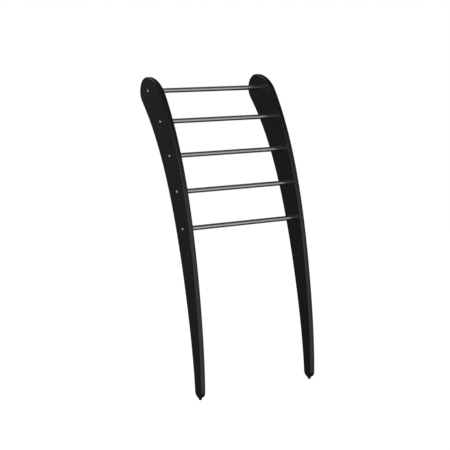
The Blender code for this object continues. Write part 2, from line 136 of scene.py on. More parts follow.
def makeCamera(setup):
    data = bpy.data.cameras.new("camera")
    data.lens = setup["lens"]
    data.sensor_width = 36.0
    camera = bpy.data.objects.new("camera", data)
    camera.location = setup["place"]
    camera.rotation_euler = (math.radians(90 - setup["pitch"]), 0.0, -math.radians(setup["yaw"]))
    bpy.context.scene.collection.objects.link(camera)
    bpy.context.scene.camera = camera


# White where the camera sees it. Lacquer and steel see a wide soft panel in front, which fades upwards,
# downwards and to the right, faint panels far right and behind, and a dim room elsewhere.
def makeSky(setup):
    world = bpy.data.worlds.new("studio")
    bpy.context.scene.world = world
    bpy.context.scene.view_settings.view_transform = "Standard"
    world.use_nodes = True
    tree = world.node_tree
    tree.nodes.clear()
    start = Wire(tree)
    direction = start.make("ShaderNodeTexCoord")
    right, away, height = (part(direction, axis) for axis in range(3))
    panel = (away * -1.0).step(*setup["frontTurn"]) * height.step(*setup["frontLow"])
    panel = panel * (1.0 - height.step(*setup["frontHigh"]))
    panel = panel * (1.0 - right.step(*setup["rightFade"]) * setup["rightLoss"])
    room = height.step(*setup["underTurn"]).between(setup["under"], setup["base"])
    room = room + right.step(*setup["sideTurn"]) * setup["side"]
    room = room + away.step(*setup["rearTurn"]) * setup["rear"]
    glow = room + panel * setup["front"]
    felt = start.make("ShaderNodeBackground", None, {"Color": (*setup["tint"], 1), "Strength": glow})
    seen = start.make("ShaderNodeBackground", None, {"Color": (1, 1, 1, 1), "Strength": setup["white"]})
    direct = start.make("ShaderNodeLightPath")
    both = start.make("ShaderNodeMixShader", None, {0: direct, 1: felt, 2: seen})
    out = tree.nodes.new("ShaderNodeOutputWorld")
    tree.links.new(both.socket, out.inputs["Surface"])


# A round pale floor: rings of growing radius around the origin. Only the camera sees it.
def makeFloor(setup):
    angles = np.linspace(0.0, 2 * np.pi, setup["floorCorners"], endpoint=False)
    radii = setup["floorRadius"] * np.linspace(0.0, 1.0, setup["floorRings"] + 1)[1:, None] ** 1.5
    flat = np.stack([radii * np.cos(angles), radii * np.sin(angles), 0 * radii * angles], axis=-1)
    floor = loftObject("paleFloor", flat[::-1], capEnd=(0.0, 0.0, 0.0), openStart=True)
    material = bpy.data.materials.new("palePaper")
    material.use_nodes = True
    tree = material.node_tree
    tree.nodes.clear()
    start = Wire(tree)
    direct = start.make("ShaderNodeLightPath")
    paint = start.make("ShaderNodeBsdfDiffuse", None, {"Color": (*[setup["floorPaint"]] * 3, 1)})
    glow = start.make("ShaderNodeEmission", None, {"Color": (1, 1, 1, 1), "Strength": setup["floorGlow"]})
    seen = start.make("ShaderNodeAddShader", None, {0: paint, 1: glow})
    felt = start.make("ShaderNodeBsdfTransparent")
    both = start.make("ShaderNodeMixShader", None, {0: direct, 1: felt, 2: seen})
    out = tree.nodes.new("ShaderNodeOutputMaterial")
    tree.links.new(both.socket, out.inputs["Surface"])
    floor.data.materials.append(material)


def makeLamps(setup):
    for name, softbox in setup["softboxes"].items():
        data = bpy.data.lights.new(name, "AREA")
        data.shape = "RECTANGLE"
        data.size, data.size_y = softbox["size"]
        data.energy = softbox["power"]
        lamp = bpy.data.objects.new(name, data)
        away = np.array(softbox["place"]) - np.array(setup["aim"])
        tilt = math.acos(away[2] / np.linalg.norm(away))
        lamp.location = softbox["place"]
        lamp.visible_glossy = softbox["glossy"]
        lamp.rotation_euler = (tilt, 0.0, math.atan2(away[0], -away[1]))
        bpy.context.scene.collection.objects.link(lamp)


def toObject(name, points, faces):
    mesh = bpy.data.meshes.new(name)
    mesh.from_pydata(np.asarray(points).tolist(), [], faces)
    grid = bmesh.new()
    grid.from_mesh(mesh)
    bmesh.ops.remove_doubles(grid, verts=grid.verts, dist=weldDistance)
    bmesh.ops.recalc_face_normals(grid, faces=grid.faces)
    grid.to_mesh(mesh)
    grid.free()
    piece = bpy.data.objects.new(name, mesh)
    bpy.context.scene.collection.objects.link(piece)
    return piece


# Quads between neighbouring rings of an index grid (ring, around)
def ringQuads(index, ringed=False):
    below = index if ringed else index[:-1]
    above = np.roll(index, -1, axis=0) if ringed else index[1:]
    quads = np.stack([below, np.roll(below, -1, axis=1), np.roll(above, -1, axis=1), above], axis=-1)
    return quads.reshape(-1, 4).tolist()


# Rings (ring, around, xyz) joined by quads, closed by a centre point at each end, or end to end with ringed
def loftObject(name, rings, capEnd=None, ringed=False, openStart=False):
    count, around, _ = rings.shape
    index = np.arange(count * around).reshape(count, around)
    faces = ringQuads(index, ringed)
    points = rings.reshape(-1, 3)
    if not ringed:
        ends = [(index[-1], capEnd)] if openStart else [(index[0], None), (index[-1], capEnd)]
        for ring, centre in ends:
            middle = points[ring].mean(axis=0) if centre is None else np.array(centre)
            points = np.vstack([points, middle[None]])
            fan = np.stack([ring, np.roll(ring, -1), np.full(around, len(points) - 1)], axis=-1)
            faces += fan.tolist()
    return toObject(name, points, faces)


# Turned shape: rows of (radius, height, shaped) swept round the axis through centre. Where shaped is 1
# the radius follows the recess, a function of the angle, and where it is 0 the ring is a circle.
def turnedRings(profile, centre, axis=0, around=96, recess=None):
    radius, height, shaped = np.array([(*row, 0.0)[:3] for row in profile]).T[:, :, None]
    angles = np.linspace(0.0, 2 * np.pi, around, endpoint=False)[None, :]
    factor = 1.0 if recess is None else 1.0 + shaped * (recess(angles) - 1.0)
    flat = [height + 0 * angles, radius * factor * np.cos(angles), radius * factor * np.sin(angles)]
    return np.roll(np.stack(flat, axis=-1), axis, axis=-1) + np.array(centre)


# Six flats: the apothem over the cosine of the angle from the nearest flat
def hexRecess(angles):
    return 1.0 / np.cos((angles % (np.pi / 3)) - np.pi / 6)


# Four narrow wings, as a driver's cross: the fifth power of the cosine of twice the angle, over a small root
def crossRecess(angles):
    root = 0.34
    return root + (1 - root) * np.abs(np.cos(2 * angles)) ** 5


def turnedObject(name, profile, centre, axis=0, around=96, recess=None, ringed=False):
    piece = loftObject(name, turnedRings(profile, centre, axis, around, recess), ringed=ringed)
    markTurned(piece, centre, axis)
    return piece


# Keeps each point's distance from the axis and along it, for turning marks in the material
def markTurned(piece, centre, axis):
    points = meshPoints(piece) - np.array(centre)
    along = points[:, axis]
    spread = np.linalg.norm(np.delete(points, axis, axis=1), axis=1)
    storeVector(piece, "turned", np.stack([spread, along, 0 * along], axis=-1))


def meshPoints(piece):
    flat = np.zeros(len(piece.data.vertices) * 3)
    piece.data.vertices.foreach_get("co", flat)
    return flat.reshape(-1, 3)


def storeVector(piece, name, values):
    attribute = piece.data.attributes.new(name, "FLOAT_VECTOR", "POINT")
    attribute.data.foreach_set("vector", values.astype(np.float32).ravel())


# Takes each cutter out of a piece with exact Booleans, and keeps the result as the piece's mesh
def carve(piece, tools):
    for tool in tools:
        boolean = piece.modifiers.new(tool.name, "BOOLEAN")
        boolean.operation = "DIFFERENCE"
        boolean.solver = "EXACT"
        boolean.object = tool
    bpy.context.view_layer.update()
    shown = piece.evaluated_get(bpy.context.evaluated_depsgraph_get())
    mesh = bpy.data.meshes.new_from_object(shown)
    piece.modifiers.clear()
    piece.data = mesh
    for tool in tools:
        bpy.data.objects.remove(tool, do_unlink=True)


# Several closed shapes as one object, for cutters that don't touch each other
def joined(name, pieces):
    grid = bmesh.new()
    for piece in pieces:
        grid.from_mesh(piece.data)
        bpy.data.objects.remove(piece, do_unlink=True)
    mesh = bpy.data.meshes.new(name)
    grid.to_mesh(mesh)
    grid.free()
    tool = bpy.data.objects.new(name, mesh)
    bpy.context.scene.collection.objects.link(tool)
    return tool


# Smooth shading with sharp creases, a finish, a body to ride on, and the CAD node that the piece stands for
def finishPiece(piece, material, slot, *cadNodes, body="rack"):
    piece.data.shade_smooth()
    piece.data.set_sharp_from_angle(angle=creaseAngle)
    piece.data.materials.clear()
    piece.data.materials.append(material)
    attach(piece, body)
    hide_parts(*cadNodes)


railShape = {
    "leanDegrees": (1.4, 10.4, 16.0, 26.5, 43.9),
    "leanLength": 1.700,
    "lineEnd": 1.800,
    "lineSteps": 1800,
    "toeHalf": 0.0308,
    "headHalf": 0.1042,
    "toeCentre": 0.0456,
    "frontEnd": 1.5549,
    "backEnd": 1.6620,
    "edgeRadius": 0.006,
    "faceInset": 1.15,
    "toeSteps": 18,
    "edgeSteps": 230,
    "headSteps": 48,
    "roundSteps": 8,
}
leftLow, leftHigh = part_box("left_rail")
rightLow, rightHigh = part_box("right_rail")
railHeight = leftHigh.z
railThick = leftHigh.x - leftLow.x


# The lean is the polynomial through evenly spaced stations, and the line is the running sum of
# short steps in the lean's direction. Returns y, z and the lean at each s.
def centreLine(s):
    shape = railShape
    stations = np.linspace(0.0, 1.0, len(shape["leanDegrees"]))
    curve = np.polyfit(stations, np.radians(shape["leanDegrees"]), len(stations) - 1)
    along = np.linspace(0.0, shape["lineEnd"], shape["lineSteps"] + 1)
    lean = np.polyval(curve, along / shape["leanLength"])
    middle = 0.5 * (lean[1:] + lean[:-1])
    y = np.append(0.0, np.cumsum(np.sin(middle) * np.diff(along)))
    z = np.append(0.0, np.cumsum(np.cos(middle) * np.diff(along)))
    return np.interp(s, along, y), np.interp(s, along, z), np.interp(s, along, lean)


def halfWidth(s):
    shape = railShape
    return shape["toeHalf"] + (shape["headHalf"] - shape["toeHalf"]) * s / shape["leanLength"]


# A point a distance across from the centre line, towards the wall
def acrossRail(s, across):
    y, z, lean = centreLine(s)
    return np.stack([y + across * np.cos(lean), z - across * np.sin(lean)], axis=-1)


# One side of the outline from the toe's bottom to the head's top: a quarter circle, the edge at half
# a width from the centre line, and the head's arc, tangent to the edge and level at the top
def railSide(side):
    shape = railShape
    turn = np.linspace(0.0, np.pi / 2, shape["toeSteps"] + 1)[:-1, None]
    toeY, toeZ, toeLean = centreLine(shape["toeCentre"])
    along = np.array([np.sin(toeLean), np.cos(toeLean)])
    out = side * np.array([np.cos(toeLean), -np.sin(toeLean)])
    toeRadius = halfWidth(shape["toeCentre"])
    toe = np.array([toeY, toeZ]) + toeRadius * (np.sin(turn) * out - np.cos(turn) * along)
    end = shape["frontEnd"] if side < 0 else shape["backEnd"]
    s = np.linspace(shape["toeCentre"], end, shape["edgeSteps"] + 1)
    edge = acrossRail(s, side * halfWidth(s))
    taper = math.atan((shape["headHalf"] - shape["toeHalf"]) / shape["leanLength"])
    heading = centreLine(end)[2] + side * taper
    radius = (railHeight - edge[-1, 1]) / (1.0 + side * np.sin(heading))
    centre = np.array([edge[-1, 0] - side * radius * np.cos(heading), railHeight - radius])
    angles = np.linspace(heading + side * np.pi / 2, 0.0, shape["headSteps"] + 1)[1:]
    head = centre + radius * np.stack([np.sin(angles), np.cos(angles)], axis=-1)
    return np.vstack([toe, edge, head])


def railOutline():
    front, back = railSide(-1), railSide(1)
    front[0] = back[0] = 0.5 * (front[0] + back[0])
    front[-1] = back[-1] = 0.5 * (front[-1] + back[-1])
    shift = leftLow.y - front[:, 0].min()
    front[:, 0] += shift
    back[:, 0] += shift
    return front, back, shift


frontSide, backSide, railShift = railOutline()


# The outline's rings step in from the edge along its normals by r(1 - sin a), out to the faces by
# r cos a, and the two faces are closed by strips from the front edge to the back edge
def railObject(name, middleX):
    outline = np.vstack([frontSide, backSide[-2:0:-1]])
    tangent = np.roll(outline, -1, axis=0) - np.roll(outline, 1, axis=0)
    normal = np.stack([tangent[:, 1], -tangent[:, 0]], axis=-1)
    normal /= np.linalg.norm(normal, axis=1)[:, None]
    radius, half = railShape["edgeRadius"], railThick / 2
    turn = np.linspace(0.0, np.pi / 2, railShape["roundSteps"] + 1)
    inset = np.concatenate([[radius * railShape["faceInset"]], radius * (1 - np.sin(turn))])
    height = np.concatenate([[half], half - radius + radius * np.cos(turn)])
    inset = np.concatenate([inset, [0.0], inset[::-1]])
    height = np.concatenate([-height, [0.0], height[::-1]])
    away = np.sign(np.sum(normal * (outline - outline.mean(axis=0)), axis=1).sum())
    moved = outline[None] - away * normal[None] * inset[:, None, None]
    x = np.broadcast_to(middleX + height[:, None, None], moved.shape[:2] + (1,))
    rings = np.concatenate([x, moved], axis=-1)
    count, around, _ = rings.shape
    index = np.arange(count * around).reshape(count, around)
    faces = ringQuads(index)
    frontIndex = np.arange(len(frontSide))
    backIndex = (around - frontIndex) % around
    for ring in (index[0], index[-1]):
        pairs = [frontIndex[:-1], frontIndex[1:], backIndex[1:], backIndex[:-1]]
        strip = np.stack([ring[p] for p in pairs], axis=-1)
        faces += [list(dict.fromkeys(face)) for face in strip.tolist()]
    return toObject(name, rings.reshape(-1, 3), faces)


# Each point's place on the rail: across its thickness, across its width and along its centre line,
# and how far round the rounded edge it lies, which is 0 on the flats and 1 half way round
def markRail(piece, middleX):
    points = meshPoints(piece)
    along = np.linspace(-0.03, 1.78, 1811)
    y, z, lean = centreLine(along)
    gapY = points[:, 1, None] - railShift - y
    gapZ = points[:, 2, None] - z
    nearest = np.argmin(gapY ** 2 + gapZ ** 2, axis=1)
    row = np.arange(len(points))
    across = gapY[row, nearest] * np.cos(lean[nearest]) - gapZ[row, nearest] * np.sin(lean[nearest])
    offset = points[:, 0] - middleX
    storeVector(piece, "railPath", np.stack([offset, across, along[nearest]], axis=-1))
    radius = railShape["edgeRadius"]
    rise = np.clip((np.abs(offset) - railThick / 2 + radius) / radius, 0.0, 1.0)
    storeVector(piece, "railEdge", np.stack([4 * rise * (1 - rise), rise, 0 * rise], axis=-1))


# Local (out, across, along) to the row frame, at s on the rail, turned to its lean
def onRail(local, s, x):
    local = np.asarray(local)
    lean = centreLine(s)[2]
    y, z = acrossRail(s, 0.0) + np.array([railShift, 0.0])
    outY = y + local[..., 1] * np.cos(lean) + local[..., 2] * np.sin(lean)
    outZ = z - local[..., 1] * np.sin(lean) + local[..., 2] * np.cos(lean)
    return np.stack([x + local[..., 0], outY, outZ], axis=-1)


# A band along the centre line: a rounded rectangle of half width and height carried from start to end,
# and drawn in a little at its ends
def bandObject(name, start, end, half, lowX, highX, rounding=0.0, steps=160):
    corner = np.linspace(0.0, np.pi / 2, 5)
    quarter = rounding * np.stack([1 - np.cos(corner), 1 - np.sin(corner)], axis=-1)
    if rounding == 0.0:
        quarter = np.zeros((1, 2))
    middle, reach = (lowX + highX) / 2, (highX - lowX) / 2
    signs = [(-1, -1), (1, -1), (1, 1), (-1, 1)]
    turns = [quarter, quarter[::-1], quarter, quarter[::-1]]
    sides = [np.array([half, reach]) * sign - turn * sign for sign, turn in zip(signs, turns)]
    section = np.vstack(sides)
    along = np.linspace(start, end, steps + 1)
    squeeze = np.zeros(steps + 1)
    if rounding > 0.0:
        drawn = rounding * (1 - np.cos(corner[1:]))
        along = np.concatenate([[start], start + drawn, along[1:-1], end - drawn[::-1], [end]])
        tail = rounding * (1 - np.sin(corner))
        squeeze = np.concatenate([tail, np.zeros(steps - 1), tail[::-1]])
    scale = np.array([half, reach])
    shape = section[None] * (1 - squeeze[:, None, None] / scale)
    y, z, lean = centreLine(along)
    lean, y, z = lean[:, None], y[:, None], z[:, None]
    ringY = y + railShift + shape[..., 0] * np.cos(lean)
    ringZ = z - shape[..., 0] * np.sin(lean)
    return loftObject(name, np.stack([middle + shape[..., 1], ringY, ringZ], axis=-1))


rungSetup = {
    "radius": 0.0127,
    "wall": 0.0012,
    "endRounding": 0.0004,
    "socketDepth": 0.0120,
    "fit": 0.0003,
    "mouthChamfer": 0.0004,
    "overshoot": 0.0040,
    "leftBore": 0.0033,
    "rightBore": 0.0053,
}
footSetup = {
    "radius": 0.0110,
    "height": 0.0160,
    "tip": 0.0058,
    "tipRound": 0.0012,
    "coneEnd": 0.62,
    "grooves": (0.30, 0.48),
    "grooveDepth": 0.0004,
    "grooveWidth": 0.035,
    "spigot": 0.0040,
    "spigotLength": 0.0200,
    "barb": ((0.0, 0.0), (0.0001, 0.010), (-0.0006, 0.012), (-0.0002, 0.018), (-0.0012, 0.020)),
}
bumperSetup = {
    "radius": 0.0075,
    "rim": 0.0010,
    "bevel": 0.0006,
    "dish": ((0.62, 0.0), (0.52, 0.0004), (0.2, 0.0005)),
}
smallScrewSetup = {
    "head": 0.0026,
    "shank": 0.0014,
    "sunk": 0.0001,
    "cone": 0.0014,
    "length": 0.0119,
    "crossRadius": 0.0019,
    "crossDepth": 0.0008,
    "ridges": 22,
    "ridgeDepth": 0.0002,
    "ridgePitch": 0.0004,
}
coverSetup = {
    "half": 0.0270,
    "thickness": 0.0025,
    "rounding": 0.0006,
    "coverEnds": (0.5655, 1.7020),
    "plateEnds": (0.2720, 0.5650),
    "channelHalf": 0.0185,
    "channelDepth": 0.0080,
    "channelEnds": (0.5400, 1.6900),
    "pocketDepth": 0.0210,
    "pocketEnds": (0.2900, 0.5480),
    "screwAcross": 0.0228,
    "coverScrews": (0.62, 0.97, 1.165, 1.36, 1.56),
    "plateScrews": (0.281, 0.556),
    "windowCorner": 0.0012,
    "overshoot": 0.0100,
    "gap": 0.0003,
}
innerX = rightLow.x
outerX = rightHigh.x
rightX = (rightLow.x + rightHigh.x) / 2
sides = ("left", "right")
rungNumbers = range(1, 6)
rungLines = [sum(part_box(f"rung_tube_{k}"), Vector()) / 2 for k in rungNumbers]
footCentres = {side: sum(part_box(f"{side}_foot"), Vector()) / 2 for side in sides}
bumperBoxes = {side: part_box(f"{side}_wall_bumper") for side in sides}


# Places of the small countersunk screws: name, station and distance across
def smallScrewPlaces():
    across = coverSetup["screwAcross"]
    cover = [(s, across * (-1) ** k) for k, s in enumerate(coverSetup["coverScrews"])]
    plate = [(s, side * across) for s in coverSetup["plateScrews"] for side in (-1, 1)]
    places = [(f"cover_screw_{k + 1}", *place) for k, place in enumerate(cover)]
    return places + [(f"plate_screw_{k + 1}", *place) for k, place in enumerate(plate)]


# The same place on the rail in the row frame, with x left at 0
def onCentre(s, across):
    y, z = acrossRail(s, across) + np.array([railShift, 0.0])
    return 0.0, y, z


# A cutter a gap larger than a small screw: its head, its cone and its shank
def countersinkTool(name, s, across):
    setup, gap = smallScrewSetup, coverSetup["gap"]
    top = outerX - setup["sunk"]
    head, shank = setup["head"] + gap, setup["shank"] + gap
    rows = [(head, top + rungSetup["overshoot"]), (head, top - setup["sunk"])]
    rows += [(shank, top - setup["cone"] - setup["sunk"])]
    rows += [(shank, top - setup["length"] - setup["ridgePitch"])]
    return turnedObject(name, rows, onCentre(s, across), around=32)


# The rail's holes: a socket and bore for each rung, the foot's seat and the bumper's blind hole
def railTools(side, sign):
    setup = rungSetup
    reach = setup["radius"] + setup["fit"]
    bore = setup["leftBore"] if sign < 0 else setup["rightBore"]
    floorX = innerX + setup["socketDepth"] + setup["fit"]
    chamfer, over = setup["mouthChamfer"], setup["overshoot"]
    rows = [(reach + chamfer, innerX - over), (reach + chamfer, innerX), (reach, innerX + chamfer)]
    rows += [(reach, floorX), (bore, floorX), (bore, outerX + over)]
    rows = [(radius, sign * x) for radius, x in rows]
    tools = [turnedObject(f"socket{k}", rows, (0.0, line.y, line.z)) for k, line in enumerate(rungLines)]
    foot, gap = footSetup, setup["fit"]
    centre = footCentres[side]
    top = foot["height"] + foot["spigotLength"] + gap
    rows = [(foot["radius"] + gap, -over), (foot["radius"] + gap, foot["height"] + gap)]
    rows += [(foot["spigot"] + gap, foot["height"] + gap), (foot["spigot"] + gap, top)]
    tools.append(turnedObject("footSeat", rows, (centre.x, centre.y, 0.0), axis=2))
    low, high = bumperBoxes[side]
    hole = bumperSetup["radius"] + gap
    rows = [(hole, low.y - gap), (hole, high.y + over)]
    tools.append(turnedObject("bumperSeat", rows, (centre.x, 0.0, (low.z + high.z) / 2), axis=1))
    if sign > 0:
        tools += [countersinkTool(name, s, across) for name, s, across in smallScrewPlaces()]
    return joined(side + "Holes", tools)


# Cutters for the right rail: the covers' rebate, the wiring channel and the control pocket
def bandTools():
    setup, gap = coverSetup, coverSetup["gap"]
    low, high = setup["plateEnds"][0] - gap, setup["coverEnds"][1] + gap
    bands = [("rebate", low, high, setup["half"] + gap, setup["thickness"] + gap),
             ("channel", *setup["channelEnds"], setup["channelHalf"], setup["channelDepth"]),
             ("pocket", *setup["pocketEnds"], setup["channelHalf"], setup["pocketDepth"])]
    over = outerX + setup["overshoot"]
    return [bandObject(name, start, end, half, outerX - depth, over, steps=60)
            for name, start, end, half, depth in bands]


def makeRails(material):
    for side, sign, low, high in (("left", -1, leftLow, leftHigh), ("right", 1, rightLow, rightHigh)):
        middle = (low.x + high.x) / 2
        rail = railObject(f"{side}BentRail", middle)
        carve(rail, [railTools(side, sign)] + (bandTools() if sign > 0 else []))
        markRail(rail, middle)
        finishPiece(rail, material, "black_lacquer", f"{side}_rail")


# A tube's wall in section: the outside, the rounded rim, the inside and the other rim
def rungProfile(outer, inner, end, edge):
    turn = np.linspace(0.0, np.pi / 2, 4)
    outside = np.stack([outer - edge * (1 - np.cos(turn)), end - edge + edge * np.sin(turn)], axis=-1)
    inside = np.stack([inner + edge * (1 - np.sin(turn)), end - edge + edge * np.cos(turn)], axis=-1)
    rim = np.vstack([outside, inside])
    middle = np.linspace(-0.95, 0.95, 39)[:, None] * end
    wall = np.hstack([0 * middle + outer, middle])
    return np.vstack([wall, rim, (rim * (1, -1))[::-1]])


def makeRungs(material):
    setup = rungSetup
    end = innerX + setup["socketDepth"]
    rows = rungProfile(setup["radius"], setup["radius"] - setup["wall"], end, setup["endRounding"])
    for k, line in zip(rungNumbers, rungLines):
        tube = turnedObject(f"rungTube{k}", rows, (0.0, line.y, line.z), around=128, ringed=True)
        finishPiece(tube, material, "satin_steel", f"rung_tube_{k}")


screwSetup = {
    "headRadius": 0.0070,
    "headHeight": 0.0056,
    "headRim": 0.0006,
    "shankRadius": 0.0030,
    "threadDepth": 0.0004,
    "threadPitch": 0.0010,
    "length": 0.0300,
    "threadStart": 0.0080,
    "plainTip": 0.0020,
    "recess": 0.0023,
    "recessDepth": 0.0020,
    "lip": 1.25,
    "ease": 0.0002,
}


# Domed screw: the dome is (r sin a, h cos a) from the recess's lip down to the rim. A six-sided recess is
# sunk in its top, and a grooved shank goes in from the seat.
def screwRows(setup, seatX, tipX):
    recess, head, shank, ease = setup["recess"], setup["headRadius"], setup["shankRadius"], setup["ease"]
    turn = np.linspace(math.asin(setup["lip"] * recess / head), np.pi / 2, 14)
    rise = (setup["headHeight"] - setup["headRim"]) * np.cos(turn)
    crown = seatX + setup["headRim"] + rise[0]
    floor = crown - setup["recessDepth"]
    rows = [(0.55 * recess, floor - 2 * ease, 0.6), (recess, floor, 1.0), (recess, crown - ease, 1.0)]
    rows += [(1.10 * recess, crown, 0.55)]
    rows += [(r, h, 0.0) for r, h in zip(head * np.sin(turn), seatX + setup["headRim"] + rise)]
    rows += [(head, seatX + ease, 0.0), (head - ease, seatX, 0.0), (shank, seatX, 0.0)]
    groove = np.arange(seatX - setup["threadStart"], tipX + setup["plainTip"], -setup["threadPitch"] / 2)
    rows += [(shank - setup["threadDepth"] * (k % 2), x, 0.0) for k, x in enumerate(groove)]
    return rows + [(0.6 * shank, tipX, 0.0)]


def makeScrews(material):
    seat = -leftLow.x
    for k, line in zip(rungNumbers, rungLines):
        rows = [(r, -h, six) for r, h, six in screwRows(screwSetup, seat, seat - screwSetup["length"])]
        screw = turnedObject(f"rungScrew{k}", rows, (0.0, line.y, line.z), around=72, recess=hexRecess)
        finishPiece(screw, material, "bright_steel", f"rung_screw_{k}")


# Countersunk screws: a driver's cross sunk in a flat head, a cone and a short shank
def makeSmallScrews(material):
    setup = smallScrewSetup
    top = outerX - setup["sunk"]
    cross, deep, head, shank = setup["crossRadius"], setup["crossDepth"], setup["head"], setup["shank"]
    rows = [(0.0005, top - 1.5 * deep, 0.2), (0.0015, top - deep, 1.0), (cross, top, 1.0)]
    rows += [(cross + 0.0002, top, 0.0), (head - 0.0001, top, 0.0), (head, top - setup["sunk"], 0.0)]
    rows += [(shank, top - setup["cone"], 0.0)]
    ridgeTop = top - 5 * setup["ridgePitch"]
    for k in range(setup["ridges"]):
        rows.append((shank - setup["ridgeDepth"] * (k % 2), ridgeTop - setup["ridgePitch"] * k, 0.0))
    rows += [(0.0003, top - setup["length"], 0.0)]
    for name, s, across in smallScrewPlaces():
        label = name.replace("_", "") + "Head"
        screw = turnedObject(label, rows, onCentre(s, across), around=48, recess=crossRecess)
        finishPiece(screw, material, "bright_steel", name)


# Push-in feet: a round-edged tip, a cone with two bell-shaped grooves, a collar and a barbed spigot
def makeFeet(material):
    setup = footSetup
    height, radius, tip, edge = setup["height"], setup["radius"], setup["tip"], setup["tipRound"]
    turn = np.linspace(0.0, np.pi / 2, 7)
    rows = [(tip * 0.4, 0.0)]
    rows += list(zip(tip - edge * (1 - np.sin(turn)), edge * (1 - np.cos(turn))))
    rise = np.linspace(0.0, 1.0, 22)[1:]
    bells = sum(np.exp(-((rise - place) / setup["grooveWidth"]) ** 2) for place in setup["grooves"])
    cone = tip + (radius - tip) * np.minimum(rise / setup["coneEnd"], 1.0) - setup["grooveDepth"] * bells
    rows += list(zip(cone, edge + (height - edge) * rise))
    rows += [(setup["spigot"] + wider, height + up) for wider, up in setup["barb"]]
    for side in sides:
        centre = footCentres[side]
        foot = turnedObject(f"{side}RubberFoot", rows, (centre.x, centre.y, 0.0), axis=2, around=80)
        finishPiece(foot, material, "black_rubber", f"{side}_foot")


# Wall bumpers: a short plug with a rounded rim and a shallow dish in its face
def makeBumpers(material):
    radius, rim, bevel = (bumperSetup[key] for key in ("radius", "rim", "bevel"))
    turn = np.linspace(0.0, np.pi / 2, 7)
    for side in sides:
        low, high = bumperBoxes[side]
        rows = [(radius - 0.0008, low.y), (radius - 0.0002, low.y + bevel)]
        rows += list(zip(radius - rim * (1 - np.cos(turn)), high.y - rim * (1 - np.sin(turn))))
        rows += [(radius * inward, high.y - deep) for inward, deep in bumperSetup["dish"]]
        centre = ((low.x + high.x) / 2, 0.0, (low.z + high.z) / 2)
        bumper = turnedObject(f"{side}RubberBumper", rows, centre, axis=1, around=72)
        finishPiece(bumper, material, "black_rubber", f"{side}_wall_bumper")


# Rounded rectangle: half sizes, corner radius, and points counted round it
def roundedLoop(halfA, halfB, corner, steps=8):
    turn = np.linspace(0.0, np.pi / 2, steps + 1)
    arcs = []
    for quarter, (signA, signB) in enumerate([(1, 1), (-1, 1), (-1, -1), (1, -1)]):
        angles = turn + quarter * np.pi / 2
        across = signA * (halfA - corner) + corner * np.cos(angles)
        along = signB * (halfB - corner) + corner * np.sin(angles)
        arcs.append(np.stack([across, along], axis=-1))
    return np.vstack(arcs)


# Rounded rectangles at several heights: rows are (half across, half along, corner, height out)
def steppedBox(rows):
    loops = [np.insert(roundedLoop(a, b, corner), 0, height, axis=1) for a, b, corner, height in rows]
    return np.stack(loops)


# The rounded rim of a bezel: half sizes, corner and height shrink by the edge's quarter circle
def rimRows(halfA, halfB, corner, edge, top):
    turn = np.linspace(0.0, np.pi / 2, 6)
    draw, drop = edge * (1 - np.cos(turn)), edge * (1 - np.sin(turn))
    return list(zip(halfA - draw, halfB - draw, corner - 0.6 * draw, top - drop))


# A round rod through the rocker's and the housing's pin holes
def pinCutter(pinX):
    angles = np.linspace(0.0, 2 * np.pi, 24, endpoint=False)
    radius, reach = switchSetup["pinHole"], switchSetup["pinReach"]
    hole = np.stack([radius * np.cos(angles), 0 * angles, radius * np.sin(angles)], axis=-1)
    rings = np.stack([hole + (0.0, side * reach, 0.0) for side in (-1, 1)])
    return loftObject("pinHole", onRail(rings, switchSetup["station"], pinX))


switchSetup = {
    "station": 0.4900,
    "across": 0.0055,
    "along": 0.0085,
    "wall": 0.0011,
    "lip": 0.0026,
    "height": 0.0016,
    "depth": 0.0115,
    "edge": 0.0008,
    "corner": 0.0022,
    "tiltDegrees": 7.0,
    "pinInset": 0.0020,
    "pinHole": 0.0013,
    "pinReach": 0.0200,
    "rockerFit": 0.0003,
    "rockerEdge": 0.0005,
    "dip": (0.0022, 0.0008, 1.6),
    "landInset": 0.0007,
    "nose": ((0.0026, 0.0001), (0.0020, -0.0003)),
    "root": ((-0.0024, 0.0053), (-0.0029, 0.0049), (-0.0030, 0.0042)),
}
inletSetup = {
    "station": 0.3280,
    "flange": (0.0120, 0.0150),
    "shroud": (0.0090, 0.0120),
    "mouth": (0.0070, 0.0100),
    "rise": 0.0018,
    "depth": 0.0150,
    "mouthDepth": 0.0120,
    "edge": 0.0008,
    "pinRadius": 0.0011,
    "pinFit": 0.0002,
}


def makeCovers(lacquer, plastic):
    setup, gap = coverSetup, coverSetup["gap"]
    section = (setup["half"], outerX - setup["thickness"], outerX, setup["rounding"])
    cover = bandObject("wiringCoverStrip", *setup["coverEnds"], *section, steps=200)
    panel = bandObject("controlPanel", *setup["plateEnds"], *section, steps=60)
    holes = {"cover": [], "plate": []}
    for name, s, across in smallScrewPlaces():
        holes[name[:5]].append(countersinkTool(name, s, across))
    switch, inlet, corner = switchSetup, inletSetup, setup["windowCorner"]
    wide, tall = switch["across"] + switch["wall"] + gap, switch["along"] + switch["wall"] + gap
    windows = [("switchWindow", wide, tall, switch["station"])]
    windows.append(("inletWindow", inlet["shroud"][0] + gap, inlet["shroud"][1] + gap, inlet["station"]))
    for name, wide, tall, station in windows:
        rings = steppedBox([(wide, tall, corner, side * setup["overshoot"]) for side in (-1, 1)])
        holes["plate"].append(loftObject(name, onRail(rings, station, outerX)))
    carve(cover, [joined("coverHoles", holes["cover"])])
    carve(panel, [joined("panelHoles", holes["plate"])])
    for piece in (cover, panel):
        markRail(piece, rightX)
    finishPiece(cover, lacquer, "black_lacquer", "wiring_cover")
    finishPiece(panel, plastic, "black_plastic", "control_plate")


